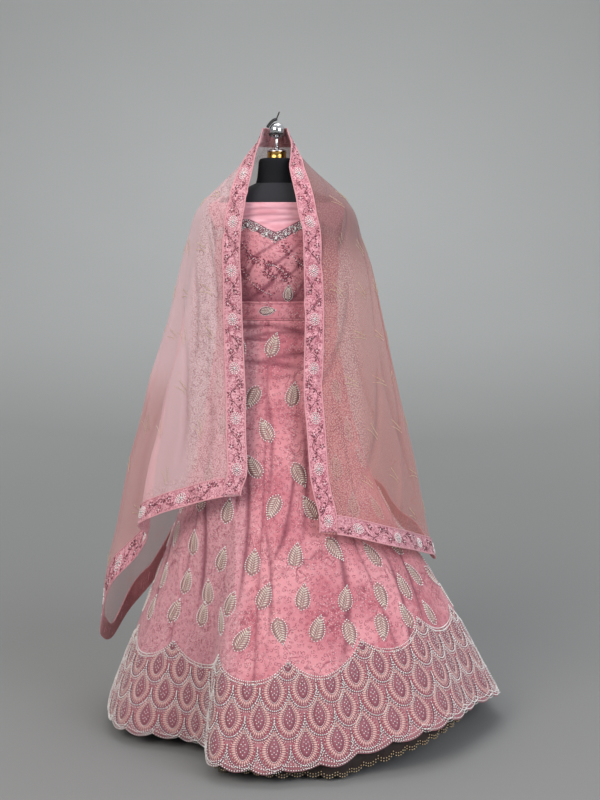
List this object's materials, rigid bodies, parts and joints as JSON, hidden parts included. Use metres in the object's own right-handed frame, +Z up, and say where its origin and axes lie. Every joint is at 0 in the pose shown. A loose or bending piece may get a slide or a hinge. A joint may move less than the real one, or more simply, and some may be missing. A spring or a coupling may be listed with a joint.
{
  "type": "lehenga choli on dress form",
  "caption": "Flared panelled lehenga, sleeveless choli and draped net dupatta with a velvet border, displayed on a limbless dress form with a flat cross base.",
  "frame": {"origin": "on the floor under the form's axis, in the middle of the base hub's underside", "axes": "+Z up, -Y to the front of the dress, +X to the viewer's right"},
  "size_m": [1.108, 1.0506, 1.6205],
  "materials": {
    "rose_cloth": "satin net with thread, bead and stone embroidery",
    "yoke_satin": "plain satin-backed net",
    "under_layer": "dark brown cloth edged with gold beads",
    "dupatta_net": "sheer hexagon net",
    "border_velvet": "velvet border with piping",
    "charcoal_jersey": "jersey cover",
    "black_jersey": "jersey cover",
    "chrome": "polished",
    "gold": "polished gold plate",
    "black_steel": "satin black powder coat"
  },
  "bodies": {
    "root": {"base_arm_1": "black_steel", "base_arm_2": "black_steel", "base_arm_3": "black_steel", "base_arm_4": "black_steel", "base_hub": "black_steel", "choli_back": "rose_cloth", "choli_front": "rose_cloth", "choli_yoke": "yoke_satin", "dupatta_back": "dupatta_net", "dupatta_border_back": "border_velvet", "dupatta_border_end_left": "border_velvet", "dupatta_border_end_right": "border_velvet", "dupatta_border_left": "border_velvet", "dupatta_border_right": "border_velvet", "dupatta_border_top": "border_velvet", "dupatta_left": "dupatta_net", "dupatta_right": "dupatta_net", "finial_ball": "chrome", "finial_stem": "chrome", "form_neck": "black_jersey", "form_torso": "charcoal_jersey", "kali_1": "rose_cloth", "kali_2": "rose_cloth", "kali_3": "rose_cloth", "kali_4": "rose_cloth", "kali_5": "rose_cloth", "kali_6": "rose_cloth", "kali_7": "rose_cloth", "kali_8": "rose_cloth", "neck_cap": "chrome", "neck_ring": "gold", "stand_pole": "chrome", "under_hem_1": "under_layer", "under_hem_2": "under_layer", "waistband": "rose_cloth"}
  },
  "joints": []
}
